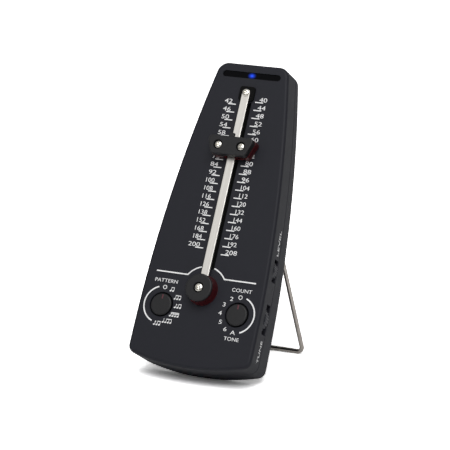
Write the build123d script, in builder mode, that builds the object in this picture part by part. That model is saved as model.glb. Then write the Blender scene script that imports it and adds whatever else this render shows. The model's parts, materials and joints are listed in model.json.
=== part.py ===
from build123d import *
import math
import os

# Electronic metronome in a wedge-shaped case that leans back on a folding wire stand.
# Millimetres, +Z up, front towards -Y, origin on the floor under the middle of the object.
# Sizes are given in the face's own frame: x to the right, height up the face from the middle
# of its bottom edge, and level out of the face, so that levels inside the case are negative.

# Case
lean_angle = 30.8
body_height = 158.4
body_width = 66.7
body_depth_bottom = 23.0
body_depth_top = 16.4
side_straight = 15.6
side_radius = 705.0
bottom_radius = 119.0
bottom_corner_radius = 4.2
top_corner_radius = 6.0
front_edge_radius = 1.6
rear_edge_radius = 2.0
wall = 2.0
parting_depth = 10.9
lip_height = 1.2
seam_chamfer = 0.25
standing_flat = 0.6

# Gaps between pieces
fit = 0.1
running = 0.05
travel_gap = 0.3

# Tempo scale and the weight that slides along it
tick_pitch = 4.2
scale_top = 138.7
rest_tick = 5
last_tick = 19
weight_height = 9.6
weight_top_half = 13.0
weight_bottom_half = 9.2
weight_corner = 2.0
weight_front = 8.0
weight_base_front = 4.3
weight_margin_high = 0.5
weight_margin_low = 0.5
weight_margin_bottom = 0.1
weight_edge = 0.5
index_tab_width = 2.2
index_tab_height = 1.9
index_tab_depth = 1.8
weight_screw_spacing = 12.4
weight_screw_radius = 1.9
weight_screw_sink = 1.0
weight_screw_depth = 2.5

# Pendulum bar
rod_width = 4.2
rod_thickness = 1.2
rod_front = 2.35
rod_top = 144.6
rod_edge = 0.25
rest_width = 8.0
rest_length = 7.2
rest_corner = 1.2
rod_screw_radius = 1.9

# Hub that holds the bar's lower end
hub_height = 39.8
hub_base_radius = 7.9
hub_base_front = 5.0
hub_base_taper = 9.0
hub_cap_radius = 7.1
hub_cap_front = 6.3
hub_cap_edge = 0.7
hub_recess_radius = 2.7
hub_recess_depth = 0.8
hub_screw_radius = 2.1
head_height = 1.0

# Shoe behind the face that the weight moves
neck_width = 6.0
neck_height = 8.0
stake_radius = 0.7
carriage_width = 12.0
carriage_height = 11.0
carriage_thickness = 1.6
wiper_thickness = 0.2
rail_width = 1.0

# Circuit board
board_level = 4.4
board_thickness = 1.0
board_margin = 1.0
board_post_radius = 2.5
board_post_gap = 0.5
board_low_height = 14.2
board_low_offset = 11.0
board_middle_height = 81.2
board_middle_offset = 20.0
board_top_height = 146.2
board_top_offset = 10.0

# Lamp strip
window_height = 152.4
window_length = 31.8
window_width = 3.3
window_recess = 0.5
window_flange = 0.4
window_flange_thickness = 0.6
led_count = 7
led_spacing = 4.2
led_length = 2.8
led_width = 2.2
led_tall = 1.7

# Dials
dial_inset = 12.75
dial_height = 29.9
dial_radius = 5.6
dial_front = 0.5
dial_edge = 0.7
pointer_inner = 2.8
pointer_outer = 5.2
pointer_width = 0.9
pointer_depth = 0.3
dish_radius = 6.2
dish_depth = 2.4
dish_chamfer = 0.3
cup_wall = 1.2
cup_floor = 1.0
dial_hub_radius = 3.0
dial_wiper_radius = 5.2
dial_wiper_thickness = 0.6
dial_pin_radius = 1.2

# Thumbwheels in the right side
wheel_level = 7.8
wheel_thickness = 3.6
wheel_reach = 0.6
wheel_notches = 32
wheel_notch_radius = 0.35
wheel_axle_radius = 1.5
wheel_rivet_radius = 2.6
wheel_rivet_height = 0.7
wheel_slot_gap = 0.5
pot_radius = 3.2
volume_wheel_height = 55.7
volume_wheel_radius = 6.0
volume_slot_end = 0.8
accent_wheel_height = 30.9
accent_wheel_room = 0.43
accent_slot_end = 1.7

# Battery box and door in the back
cell_count = 3
cell_radius = 5.25
cell_length = 44.5
cell_pitch = 10.8
cell_tip_radius = 1.9
cell_tip_length = 0.8
cell_gap = 0.3
box_height = 40.1
box_wall = 1.2
contact_thickness = 0.4
contact_width = 7.0
contact_dimple = 1.6
contact_dimple_radius = 2.2
door_thickness = 1.4
door_corner = 1.5
door_grips = 3
door_grip_pitch = 2.4
door_grip_length = 14.0
door_grip_height = 0.5
door_tab_width = 4.0
door_tab_spacing = 20.0
door_tab_reach = 1.4
door_tab_thickness = 0.8
nail_recess_radius = 6.0
nail_recess_depth = 0.9

# Loudspeaker
speaker_height = 114.2
speaker_radius = 18.0
speaker_flange = 1.2
speaker_basket_radius = 15.0
speaker_basket_depth = 3.0
speaker_magnet_radius = 8.5
speaker_magnet_depth = 3.6
speaker_rim = 2.6
speaker_cone_depth = 2.4
speaker_coil_radius = 5.0
speaker_dome_height = 1.5
speaker_ring_thickness = 1.0
grille_hole_radius = 0.95
grille_pitch = 3.6
grille_rings = 3

# Wire stand
wire_radius = 1.15
pivot_height = 84.2
pivot_lift = 1.5
leg_spread_top = 20.0
leg_spread_foot = 32.0
foot_reach = 52.7
pivot_bend = 3.0
foot_bend = 2.5
lug_radius = 2.5
lug_length = 4.0

# Screws
case_screw_inset = 6.0
case_screw_low = 10.0
case_screw_high = 140.2
case_post_radius = 3.8
case_head_radius = 2.3
case_head_height = 1.6
case_seat_depth = 4.0
screw_shank_radius = 1.2
screw_gap = 0.05
board_head_height = 1.2
board_head_radius = 2.2
head_dome_share = 0.6

lean = math.radians(lean_angle)
wedge = math.atan2(body_depth_bottom - body_depth_top, body_height)
half_width = body_width / 2


def half_width_at(height):
    """Half the case's width at a height up the face."""
    rise = max(0.0, height - side_straight)
    return half_width - side_radius + math.sqrt(side_radius**2 - rise**2)


def depth_at(height):
    """The case's depth behind the face at a height up the face."""
    return body_depth_bottom - height * math.tan(wedge)


# The case stands on its lower rear edge, and the box round it runs from that edge's front
# counterpart to its upper rear edge. These three round edges place the face.
heel_level = rear_edge_radius / math.cos(wedge) - depth_at(rear_edge_radius)
heel_low = rear_edge_radius * (math.cos(lean) - 1) + heel_level * math.sin(lean)
toe_front = front_edge_radius * (math.sin(lean) + math.cos(lean) - 1)
crown_height = body_height - rear_edge_radius
crown_level = rear_edge_radius / math.cos(wedge) - depth_at(crown_height)
crown_rear = crown_height * math.sin(lean) - crown_level * math.cos(lean) + rear_edge_radius
face_origin = (0, -(toe_front + crown_rear) / 2, -heel_low - standing_flat)

face = Plane(face_origin, x_dir=(1, 0, 0), z_dir=(0, -math.cos(lean), math.sin(lean)))
back = Plane(
    face.from_local_coords((0, 0, -body_depth_bottom)),
    x_dir=(-1, 0, 0),
    z_dir=(0, math.cos(lean - wedge), -math.sin(lean - wedge)),
)
outward = Axis(face.origin, face.z_dir)
rearward = Axis(back.origin, back.z_dir)


def rear_facing(level):
    """A plane parallel to the face that looks to the rear, with x counted to the left."""
    return Plane(face.offset(level).origin, x_dir=(-1, 0, 0), z_dir=-face.z_dir)


def body_outline(plane, inset=0.0):
    """The case's front outline on a plane parallel to the face, moved in by inset."""
    corner_height = bottom_radius - math.sqrt(bottom_radius**2 - half_width**2)
    top_half = half_width_at(body_height)
    with BuildSketch(plane) as outline:
        with BuildLine():
            ThreePointArc((-half_width, corner_height), (0, 0), (half_width, corner_height))
            for side in (-1, 1):
                Line((side * half_width, corner_height), (side * half_width, side_straight))
                TangentArc(
                    (side * half_width, side_straight), (side * top_half, body_height), tangent=(0, 1)
                )
            Line((-top_half, body_height), (top_half, body_height))
        make_face()
        fillet(outline.vertices().group_by(Axis.Y)[0], bottom_corner_radius)
        fillet(outline.vertices().group_by(Axis.Y)[-1], top_corner_radius)
        offset(amount=-inset, mode=Mode.REPLACE)
    return outline.sketch


def weight_outline(plane, top, bottom, top_half, bottom_half, radius):
    """The tempo weight's outline, wide at the top and narrow at the bottom."""
    with BuildSketch(plane) as outline:
        with BuildLine():
            Polyline(
                (-bottom_half, bottom),
                (bottom_half, bottom),
                (top_half, top),
                (-top_half, top),
                close=True,
            )
        make_face()
        fillet(outline.vertices(), radius)
    return outline.sketch


def discs(plane, points, radius, amount):
    """Round bars that stand on a plane at the given points."""
    with BuildPart() as group:
        with BuildSketch(plane):
            with Locations(*points):
                Circle(radius)
        extrude(amount=amount)
    return group.part


def lamps(points):
    """Flat lamps on the board at the given points."""
    with BuildPart() as group:
        with BuildSketch(face.offset(-board_level)):
            with Locations(*points):
                Rectangle(led_length, led_width)
        extrude(amount=led_tall)
    return group.part


def slot_length(radius, end_gap):
    """A thumbwheel slot's length: the wheel's chord at the inside of the wall, and a gap at each end."""
    return 2 * math.sqrt(radius**2 - (radius - wheel_reach - wall) ** 2) + 2 * end_gap


def cut(part):
    """Take a solid away from the piece that is being made."""
    add(part, mode=Mode.SUBTRACT)


def screws(plane, points, head_radius, head_height, shank_length):
    """Domed screws whose heads stand on a plane, with shanks going down from it."""
    with BuildPart() as group:
        add(discs(plane, points, head_radius, head_height))
        rims = group.edges().group_by(Axis(plane.origin, plane.z_dir))[-1]
        fillet(rims, head_height * head_dome_share)
        add(discs(plane, points, screw_shank_radius, -shank_length))
    return group.part


def write(part, name):
    """Label a finished piece and write it to its own file."""
    part.label = name
    export_step(part, f"parts/{name}.step")


os.makedirs("parts", exist_ok=True)

# Places that several pieces share
rod_back = rod_front - rod_thickness
rod_screw_height = rod_top - rod_width / 2
index_height = scale_top - rest_tick * tick_pitch
weight_top = index_height
weight_bottom = weight_top - weight_height
weight_middle = (weight_top + weight_bottom) / 2
travel_up = rest_tick * tick_pitch - fit
travel_down = (last_tick - rest_tick) * tick_pitch - index_tab_height / 2
slot_width = neck_width + 2 * travel_gap
slot_top = weight_middle + neck_height / 2 + travel_up + travel_gap
slot_bottom = weight_middle - neck_height / 2 - travel_down - travel_gap
carriage_front = -wall - travel_gap
carriage_rear = carriage_front - carriage_thickness
screw_hole_radius = screw_shank_radius + screw_gap
board_rear = board_level + board_thickness
case_points = [
    (side * (half_width_at(height) - case_screw_inset), height)
    for height in (case_screw_low, case_screw_high)
    for side in (-1, 1)
]
board_posts = (
    (board_low_offset, board_low_height),
    (board_middle_offset, board_middle_height),
    (board_top_offset, board_top_height),
)
board_points = [(side * x, height) for x, height in board_posts for side in (-1, 1)]
dial_offset = half_width - dial_inset
dial_points = [(-dial_offset, dial_height), (dial_offset, dial_height)]
lamp_xs = [(index - (led_count - 1) / 2) * led_spacing for index in range(led_count)]
lamp_points = [(x, window_height) for x in lamp_xs]
cup_rear = dish_depth + cup_floor
window_lip = window_flange + fit
rod_points = [(0, rod_screw_height), (0, hub_height)]
weight_screw_points = [(side * weight_screw_spacing / 2, weight_middle) for side in (-1, 1)]
box_inner_width = cell_count * cell_pitch
box_outer_width = box_inner_width + 2 * box_wall
wheel_room = half_width_at(accent_wheel_height) + wheel_reach - box_outer_width / 2
accent_wheel_radius = (wheel_room - accent_wheel_room) / 2
wheel_slots = (
    (volume_wheel_height, slot_length(volume_wheel_radius, volume_slot_end)),
    (accent_wheel_height, slot_length(accent_wheel_radius, accent_slot_end)),
)

# Front half of the case: what is left standing inside it is kept out of the hollow
with BuildPart() as front_hollow:
    extrude(body_outline(face.offset(-parting_depth), wall), amount=parting_depth - wall)
    cut(discs(face, case_points, case_post_radius, -parting_depth))
    cut(discs(face, board_points, board_post_radius, -board_level))
    cut(discs(face, dial_points, dish_radius + cup_wall, -cup_rear))
    cut(discs(face, rod_points, board_post_radius, carriage_rear))
    with BuildSketch(face):
        with Locations((0, (slot_top + slot_bottom) / 2)):
            Rectangle(carriage_width + 2 * (travel_gap + rail_width), slot_top - slot_bottom)
            Rectangle(carriage_width + 2 * travel_gap, slot_top - slot_bottom, mode=Mode.SUBTRACT)
    extrude(amount=carriage_rear, mode=Mode.SUBTRACT)

with BuildPart() as front_shell:
    extrude(body_outline(face.offset(-parting_depth)), amount=parting_depth)
    fillet(front_shell.faces().sort_by(outward)[-1].edges(), front_edge_radius)
    chamfer(front_shell.faces().sort_by(outward)[0].edges(), seam_chamfer)
    cut(front_hollow.part)
    lip_plane = face.offset(-parting_depth - lip_height)
    extrude(body_outline(lip_plane, wall / 2 + fit), amount=lip_height)
    extrude(body_outline(lip_plane, wall), amount=lip_height, mode=Mode.SUBTRACT)
    with BuildSketch(face):
        with Locations((0, rod_screw_height)):
            RectangleRounded(rest_width, rest_length, rest_corner)
    extrude(amount=rod_back)
    with BuildSketch(face):
        with Locations((0, (slot_top + slot_bottom) / 2)):
            Rectangle(slot_width, slot_top - slot_bottom)
        with Locations((0, window_height)):
            SlotOverall(window_length, window_width)
    extrude(amount=-wall, mode=Mode.SUBTRACT)
    with BuildSketch(face.offset(-wall)):
        with Locations((0, window_height)):
            SlotOverall(window_length + 2 * window_lip, window_width + 2 * window_lip)
    extrude(amount=-window_flange_thickness, mode=Mode.SUBTRACT)
    cut(discs(face, dial_points, dish_radius, -dish_depth))
    rims = front_shell.edges().filter_by(GeomType.CIRCLE)
    dish_rims = rims.filter_by(lambda rim: abs(rim.radius - dish_radius) < fit)
    chamfer(dish_rims.group_by(outward)[-1], dish_chamfer)
    cut(discs(face, dial_points, dial_hub_radius + running, -cup_rear))
    cut(discs(face.offset(rod_back), rod_points, screw_hole_radius, carriage_rear - rod_back))
    cut(discs(face.offset(-board_level), board_points, screw_hole_radius, board_level - wall))
    cut(discs(face.offset(-parting_depth), case_points, screw_hole_radius, parting_depth - wall))
    for height, length in wheel_slots:
        with BuildSketch(face.offset(-wheel_level)):
            with Locations((half_width_at(height), height)):
                Rectangle(4 * wall, length)
        extrude(amount=wheel_thickness / 2 + wheel_slot_gap, both=True, mode=Mode.SUBTRACT)
write(front_shell.part, "front_shell")

# Battery box, door and stand places, counted along the back from its bottom edge
box_inner_length = cell_length + 2 * (contact_thickness + contact_dimple + fit)
box_depth = door_thickness + 2 * (cell_radius + cell_gap)
box_low = box_height - box_inner_length / 2
box_outer_length = box_inner_length + 2 * box_wall
cell_level = -(door_thickness + cell_gap + cell_radius)
door_low = box_low - box_wall
tab_front = -wall - fit
tab_rear = tab_front - door_tab_thickness
tab_points = [(side * door_tab_spacing / 2, door_low) for side in (-1, 1)]
cell_xs = [(index - (cell_count - 1) / 2) * cell_pitch for index in range(cell_count)]
speaker_point = (0, speaker_height)
seat_radius = speaker_radius + fit

# Plane across the case that looks along -X, with x up the back and y out of it
profile = Plane(back.origin, x_dir=back.y_dir, z_dir=(-1, 0, 0))
pivot = profile.from_local_coords((pivot_height, pivot_lift, 0))
heel_rear = face_origin[1] + rear_edge_radius * math.sin(lean) - heel_level * math.cos(lean)
foot = Vector(0, heel_rear + foot_reach, wire_radius)
leg_length = (pivot - foot).length
leg_turn = math.atan2(leg_length, leg_spread_foot - leg_spread_top)
lug_outer = leg_spread_top - pivot_bend * math.tan(leg_turn / 2) - travel_gap
lug_inner = lug_outer - lug_length

# Rear half of the case
with BuildPart() as stand_lugs:
    with BuildSketch(profile.offset(lug_inner)):
        with Locations((pivot_height, pivot_lift)):
            Circle(lug_radius)
        with Locations((pivot_height, (pivot_lift - wall / 2) / 2)):
            Rectangle(2 * lug_radius, pivot_lift + wall / 2)
        with Locations((pivot_height, pivot_lift)):
            Circle(wire_radius + running, mode=Mode.SUBTRACT)
    extrude(amount=lug_length)
    mirror(about=Plane.YZ)

with BuildPart() as rear_hollow:
    extrude(body_outline(face.offset(-parting_depth), wall), amount=parting_depth - body_depth_bottom)
    split(bisect_by=back.offset(-wall), keep=Keep.BOTTOM)
    cut(discs(face.offset(-parting_depth), case_points, case_post_radius, -body_depth_bottom))
    with BuildSketch(back.offset(-wall)):
        with Locations(speaker_point):
            Circle(seat_radius + box_wall)
            Circle(seat_radius, mode=Mode.SUBTRACT)
    extrude(amount=-speaker_flange, mode=Mode.SUBTRACT)

with BuildPart() as rear_shell:
    extrude(body_outline(face.offset(-parting_depth)), amount=parting_depth - body_depth_bottom)
    split(bisect_by=back, keep=Keep.BOTTOM)
    fillet(rear_shell.faces().sort_by(rearward)[-1].edges(), rear_edge_radius)
    chamfer(rear_shell.faces().sort_by(outward)[-1].edges(), seam_chamfer)
    cut(rear_hollow.part)
    rebate_outline = body_outline(face.offset(-parting_depth), wall / 2)
    extrude(rebate_outline, amount=-lip_height - fit, mode=Mode.SUBTRACT)
    add(discs(face.offset(-parting_depth), case_points, case_post_radius, -case_seat_depth))
    with BuildSketch(back.offset(-wall)):
        with Locations((0, box_height)):
            Rectangle(box_outer_width, box_outer_length)
    extrude(amount=wall - box_depth - box_wall)
    with BuildSketch(back):
        with Locations((0, box_height)):
            Rectangle(box_inner_width, box_inner_length)
    extrude(amount=-box_depth, mode=Mode.SUBTRACT)
    with BuildSketch(back):
        with Locations((0, box_height)):
            RectangleRounded(
                box_outer_width + 2 * travel_gap,
                box_outer_length + 2 * travel_gap,
                door_corner + travel_gap,
            )
    extrude(amount=-door_thickness - fit, mode=Mode.SUBTRACT)
    with BuildSketch(back):
        with Locations((0, box_height + box_outer_length / 2)):
            Circle(nail_recess_radius)
    extrude(amount=-nail_recess_depth, mode=Mode.SUBTRACT)
    with BuildSketch(back.offset(-door_thickness)):
        with Locations(*tab_points):
            Rectangle(door_tab_width + 2 * travel_gap, 2 * (door_tab_reach + box_wall))
    extrude(amount=tab_rear - door_tab_reach / 2 + door_thickness, mode=Mode.SUBTRACT)
    with BuildSketch(back):
        with Locations(speaker_point):
            Circle(grille_hole_radius)
            for ring in range(1, grille_rings + 1):
                with PolarLocations(ring * grille_pitch, 6 * ring):
                    Circle(grille_hole_radius)
    extrude(amount=-wall, mode=Mode.SUBTRACT)
    add(stand_lugs.part)
    case_seat = face.offset(-parting_depth - case_seat_depth)
    cut(discs(case_seat, case_points, case_head_radius + travel_gap, -body_depth_bottom))
    cut(discs(case_seat, case_points, screw_hole_radius, case_seat_depth))
    split(bisect_by=Plane.XY, keep=Keep.TOP)
write(rear_shell.part, "rear_shell")

# Screws that join the two halves, from the rear
case_shank = case_seat_depth + parting_depth - wall - travel_gap
case_seat_rear = rear_facing(-parting_depth - case_seat_depth)
write(screws(case_seat_rear, case_points, case_head_radius, case_head_height, case_shank), "case_screws")

# Circuit board on the front half's posts
with BuildPart() as main_board:
    extrude(body_outline(face.offset(-board_rear), wall + board_margin), amount=board_thickness)
    post_hole = case_post_radius + board_post_gap
    cut(discs(face.offset(-board_rear), case_points, post_hole, board_thickness))
    cut(discs(face.offset(-board_rear), board_points, screw_hole_radius, board_thickness))
write(main_board.part, "main_board")
board_shank = board_rear - wall - travel_gap
board_seat = rear_facing(-board_rear)
board_screws = screws(board_seat, board_points, board_head_radius, board_head_height, board_shank)
write(board_screws, "board_screws")

# Lamps on the board, and the tinted strip in front of them
middle_lamp = led_count // 2
write(lamps([lamp_points[middle_lamp]]), "led_centre")
write(lamps(lamp_points[:middle_lamp] + lamp_points[middle_lamp + 1 :]), "led_row")

with BuildPart() as led_window:
    with BuildSketch(face.offset(-wall)):
        with Locations((0, window_height)):
            SlotOverall(window_length - 2 * fit, window_width - 2 * fit)
    extrude(amount=wall - window_recess)
    with BuildSketch(face.offset(-wall)):
        with Locations((0, window_height)):
            SlotOverall(window_length + 2 * window_flange, window_width + 2 * window_flange)
    extrude(amount=-window_flange_thickness)
write(led_window.part, "led_window")

# Pendulum bar, its top screw, and the hub at its lower end
with BuildPart() as pendulum_rod:
    with BuildSketch(face.offset(rod_back)):
        with Locations((0, (rod_screw_height + hub_height) / 2)):
            SlotCenterToCenter(rod_screw_height - hub_height, rod_width, rotation=90)
        with Locations(*rod_points):
            Circle(screw_hole_radius, mode=Mode.SUBTRACT)
    extrude(amount=rod_thickness)
    front_rim = pendulum_rod.faces().sort_by(outward)[-1].outer_wire()
    fillet(front_rim.edges(), rod_edge)
write(pendulum_rod.part, "pendulum_rod")
rod_shank = rod_front - carriage_rear - travel_gap
rod_top_screw = screws(face.offset(rod_front), rod_points[:1], rod_screw_radius, head_height, rod_shank)
write(rod_top_screw, "rod_top_screw")

with BuildPart() as hub_base:
    with BuildSketch(face):
        with Locations((0, hub_height)):
            Circle(hub_base_radius)
    extrude(amount=hub_base_front, taper=hub_base_taper)
    with BuildSketch(face.offset(rod_back)):
        with Locations((0, (rod_screw_height + hub_height) / 2)):
            SlotCenterToCenter(rod_screw_height - hub_height, rod_width + 2 * fit, rotation=90)
    extrude(amount=hub_base_front - rod_back, mode=Mode.SUBTRACT)
    cut(discs(face, rod_points[1:], screw_hole_radius, rod_back))
write(hub_base.part, "hub_base")

hub_seat = hub_cap_front - hub_recess_depth
with BuildPart() as hub_cap:
    cap_height = hub_cap_front - hub_base_front
    add(discs(face.offset(hub_base_front), rod_points[1:], hub_cap_radius, cap_height))
    fillet(hub_cap.edges().group_by(outward)[-1], hub_cap_edge)
    cut(discs(face.offset(hub_seat), rod_points[1:], hub_recess_radius, hub_recess_depth))
    cut(discs(face.offset(hub_seat), rod_points[1:], screw_hole_radius, hub_base_front - hub_seat))
write(hub_cap.part, "hub_cap")
hub_shank = hub_seat - carriage_rear - travel_gap
hub_screw = screws(face.offset(hub_seat), rod_points[1:], hub_screw_radius, head_height, hub_shank)
write(hub_screw, "hub_screw")

# Tempo weight: a base that straddles the bar, a cap in front of it, and the shoe inside
web_front = rod_back - 2 * fit
with BuildPart() as slider_base:
    base_outline = weight_outline(
        face.offset(travel_gap),
        weight_top,
        weight_bottom - weight_margin_bottom,
        weight_top_half + weight_margin_high,
        weight_bottom_half + weight_margin_low,
        weight_corner,
    )
    extrude(base_outline, amount=weight_base_front - travel_gap)
    with BuildSketch(face.offset(web_front)):
        with Locations((0, weight_middle)):
            Rectangle(rod_width + 2 * travel_gap, 2 * weight_height)
    extrude(amount=weight_base_front - web_front, mode=Mode.SUBTRACT)
    hole_plane = face.offset(weight_base_front)
    cut(discs(hole_plane, weight_screw_points, screw_hole_radius, -weight_screw_depth))
    stake_points = [(0, weight_middle + side * neck_height / 4) for side in (-1, 1)]
    cut(discs(face.offset(travel_gap), stake_points, stake_radius + running, web_front - travel_gap))
write(slider_base.part, "slider_base")

screw_seat = weight_front - weight_screw_sink
with BuildPart() as slider_cap:
    cap_outline = weight_outline(
        face.offset(weight_base_front),
        weight_top,
        weight_bottom,
        weight_top_half,
        weight_bottom_half,
        weight_corner,
    )
    extrude(cap_outline, amount=weight_front - weight_base_front)
    fillet(slider_cap.faces().sort_by(outward)[-1].edges(), weight_edge)
    with BuildSketch(face.offset(weight_front - index_tab_depth - weight_edge)):
        with Locations((0, weight_top)):
            Rectangle(index_tab_width, 2 * index_tab_height)
    extrude(amount=index_tab_depth)
    sink_radius = weight_screw_radius + weight_edge
    cut(discs(face.offset(weight_front), weight_screw_points, sink_radius, -weight_screw_sink))
    seat_plane = face.offset(screw_seat)
    cut(discs(seat_plane, weight_screw_points, screw_hole_radius, weight_base_front - screw_seat))
write(slider_cap.part, "slider_cap")
weight_shank = screw_seat - weight_base_front + weight_screw_depth - travel_gap
slider_screws = screws(seat_plane, weight_screw_points, weight_screw_radius, head_height, weight_shank)
write(slider_screws, "slider_screws")

with BuildPart() as slider_carriage:
    with BuildSketch(face.offset(carriage_rear)):
        with Locations((0, weight_middle)):
            Rectangle(carriage_width, carriage_height)
    extrude(amount=carriage_thickness)
    with BuildSketch(face.offset(carriage_front)):
        with Locations((0, weight_middle)):
            Rectangle(neck_width, neck_height)
    extrude(amount=travel_gap - carriage_front)
    add(discs(face.offset(travel_gap), stake_points, stake_radius, web_front - travel_gap))
write(slider_carriage.part, "slider_carriage")

with BuildPart() as slider_wiper:
    with BuildSketch(face.offset(carriage_rear)):
        with Locations((0, weight_middle)):
            Rectangle(carriage_width - 2 * rail_width, carriage_height - 2 * rail_width)
    extrude(amount=-wiper_thickness)
    contact_points = [(side * carriage_width / 4, weight_middle) for side in (-1, 1)]
    wiper_reach = board_level + carriage_rear - wiper_thickness - fit
    add(discs(face.offset(carriage_rear - wiper_thickness), contact_points, stake_radius, -wiper_reach))
write(slider_wiper.part, "slider_wiper")

# Dials, each a knob in its cup with a contact disc behind the cup's floor
for name, place in zip(("rhythm", "beats"), dial_points):
    knob_rear = travel_gap - dish_depth
    disc_front = -cup_rear - 2 * fit
    with BuildPart() as knob:
        add(discs(face.offset(knob_rear), [place], dial_radius, dial_front - knob_rear))
        fillet(knob.edges().group_by(outward)[-1], dial_edge)
        add(discs(face.offset(knob_rear), [place], dial_hub_radius, disc_front - knob_rear))
        add(discs(face.offset(disc_front), [place], dial_pin_radius, -dial_wiper_thickness))
        with BuildSketch(face.offset(dial_front)):
            with Locations((place[0], place[1] + (pointer_inner + pointer_outer) / 2)):
                Rectangle(pointer_width, pointer_outer - pointer_inner)
        extrude(amount=-pointer_depth, mode=Mode.SUBTRACT)
    write(knob.part, f"{name}_knob")
    with BuildPart() as wiper:
        add(discs(face.offset(disc_front), [place], dial_wiper_radius, -dial_wiper_thickness))
        cut(discs(face.offset(disc_front), [place], dial_pin_radius + running, -dial_wiper_thickness))
    write(wiper.part, f"{name}_wiper")

# Thumbwheels behind the board, each on the axle of its control
wheel_front = wheel_thickness / 2 - wheel_level
wheel_rear = -wheel_thickness / 2 - wheel_level
wheel_places = []
for name, height, radius in (
    ("volume", volume_wheel_height, volume_wheel_radius),
    ("accent", accent_wheel_height, accent_wheel_radius),
):
    place = (half_width_at(height) + wheel_reach - radius, height)
    wheel_places.append(place)
    with BuildPart() as wheel:
        with BuildSketch(face.offset(wheel_rear)):
            with Locations(place):
                Circle(radius)
                Circle(wheel_axle_radius + running, mode=Mode.SUBTRACT)
                with PolarLocations(radius, wheel_notches):
                    Circle(wheel_notch_radius, mode=Mode.SUBTRACT)
        extrude(amount=wheel_thickness)
    write(wheel.part, f"{name}_wheel")
    with BuildPart() as pot:
        add(discs(face.offset(-board_rear), [place], pot_radius, wheel_front + fit + board_rear))
        add(discs(face.offset(-board_rear), [place], wheel_axle_radius, wheel_rear - fit + board_rear))
    write(pot.part, f"{name}_pot")
rivet_seat = face.offset(wheel_rear - fit)
write(discs(rivet_seat, wheel_places, wheel_rivet_radius, -wheel_rivet_height), "wheel_rivets")

# Loudspeaker behind the grille, with the ring that holds it
basket_rear = -wall - speaker_flange
magnet_top = basket_rear - speaker_basket_depth
magnet_rear = magnet_top - speaker_magnet_depth
cone_inner = speaker_radius - speaker_rim
cone_floor = -wall - speaker_cone_depth
dome_top = cone_floor + speaker_dome_height
speaker_axis = Plane(
    back.from_local_coords((*speaker_point, 0)), x_dir=back.x_dir, z_dir=back.x_dir.cross(back.z_dir)
)
with BuildPart() as speaker:
    with BuildSketch(speaker_axis):
        with BuildLine():
            Polyline(
                (0, magnet_rear),
                (speaker_magnet_radius, magnet_rear),
                (speaker_magnet_radius, magnet_top),
                (speaker_basket_radius, magnet_top),
                (speaker_basket_radius, basket_rear),
                (speaker_radius, basket_rear),
                (speaker_radius, -wall),
                (cone_inner, -wall),
                (speaker_coil_radius, cone_floor),
            )
            TangentArc((0, dome_top), (speaker_coil_radius, cone_floor), tangent=(1, 0))
            Line((0, dome_top), (0, magnet_rear))
        make_face()
    revolve(axis=Axis(speaker_axis.origin, speaker_axis.y_dir))
write(speaker.part, "speaker")

with BuildPart() as speaker_ring:
    with BuildSketch(back.offset(basket_rear)):
        with Locations(speaker_point):
            Circle(seat_radius + box_wall)
            Circle(speaker_basket_radius + fit, mode=Mode.SUBTRACT)
    extrude(amount=-speaker_ring_thickness)
write(speaker_ring.part, "speaker_ring")

# Battery cells side by side, the middle one the other way up, and their contacts
for index, cell_x in enumerate(cell_xs):
    direction = -1 if index % 2 else 1
    start = box_height - direction * cell_length / 2
    cell_start = back.from_local_coords((-cell_x, start, cell_level))
    cell_end = Plane(cell_start, x_dir=(1, 0, 0), z_dir=back.y_dir * direction)
    with BuildPart() as cell:
        add(discs(cell_end, [(0, 0)], cell_radius, cell_length - cell_tip_length))
        add(discs(cell_end, [(0, 0)], cell_tip_radius, cell_length))
    write(cell.part, f"battery_cell_{index + 1}")

with BuildPart() as battery_contacts:
    box_end = Plane(back.from_local_coords((0, box_low, 0)), x_dir=(1, 0, 0), z_dir=back.y_dir)
    with BuildSketch(box_end):
        with Locations(*[(x, cell_level) for x in cell_xs]):
            Rectangle(contact_width, contact_width)
    extrude(amount=contact_thickness)
    dimples = [(x, cell_level) for x in cell_xs]
    add(discs(box_end, dimples, contact_dimple_radius, contact_thickness + contact_dimple))
    mirror(about=Plane(back.from_local_coords((0, box_height, 0)), z_dir=back.y_dir))
write(battery_contacts.part, "battery_contacts")

with BuildPart() as battery_door:
    with BuildSketch(back.offset(-door_thickness)):
        with Locations((0, box_height)):
            RectangleRounded(box_outer_width, box_outer_length, door_corner)
    extrude(amount=door_thickness)
    with BuildSketch(back):
        with Locations((0, box_height + box_outer_length / 2 - door_grips * door_grip_pitch)):
            with GridLocations(0, door_grip_pitch, 1, door_grips):
                SlotOverall(door_grip_length, door_grip_pitch / 2)
    extrude(amount=door_grip_height)
    with BuildSketch(back.offset(-door_thickness)):
        with Locations(*[(x, height + box_wall / 2) for x, height in tab_points]):
            Rectangle(door_tab_width, box_wall)
    extrude(amount=tab_rear + door_thickness)
    with BuildSketch(back.offset(tab_front)):
        with Locations(*[(x, height - door_tab_reach / 2) for x, height in tab_points]):
            Rectangle(door_tab_width, door_tab_reach)
    extrude(amount=-door_tab_thickness)
write(battery_door.part, "battery_door")

# Wire stand, bent from one length of wire, with its ends in the lugs
stand_up = (pivot - foot).normalized()
stand_plane = Plane(pivot, x_dir=(1, 0, 0), z_dir=Vector(1, 0, 0).cross(stand_up))
with BuildPart() as wire_stand:
    with BuildLine(stand_plane) as wire:
        FilletPolyline(
            (lug_inner, 0),
            (leg_spread_top, 0),
            (leg_spread_foot, -leg_length),
            (-leg_spread_foot, -leg_length),
            (-leg_spread_top, 0),
            (-lug_inner, 0),
            radius=[pivot_bend, foot_bend, foot_bend, pivot_bend],
        )
    with BuildSketch(Plane(wire.line @ 0, z_dir=wire.line % 0)):
        Circle(wire_radius)
    sweep()
write(wire_stand.part, "wire_stand")
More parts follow.
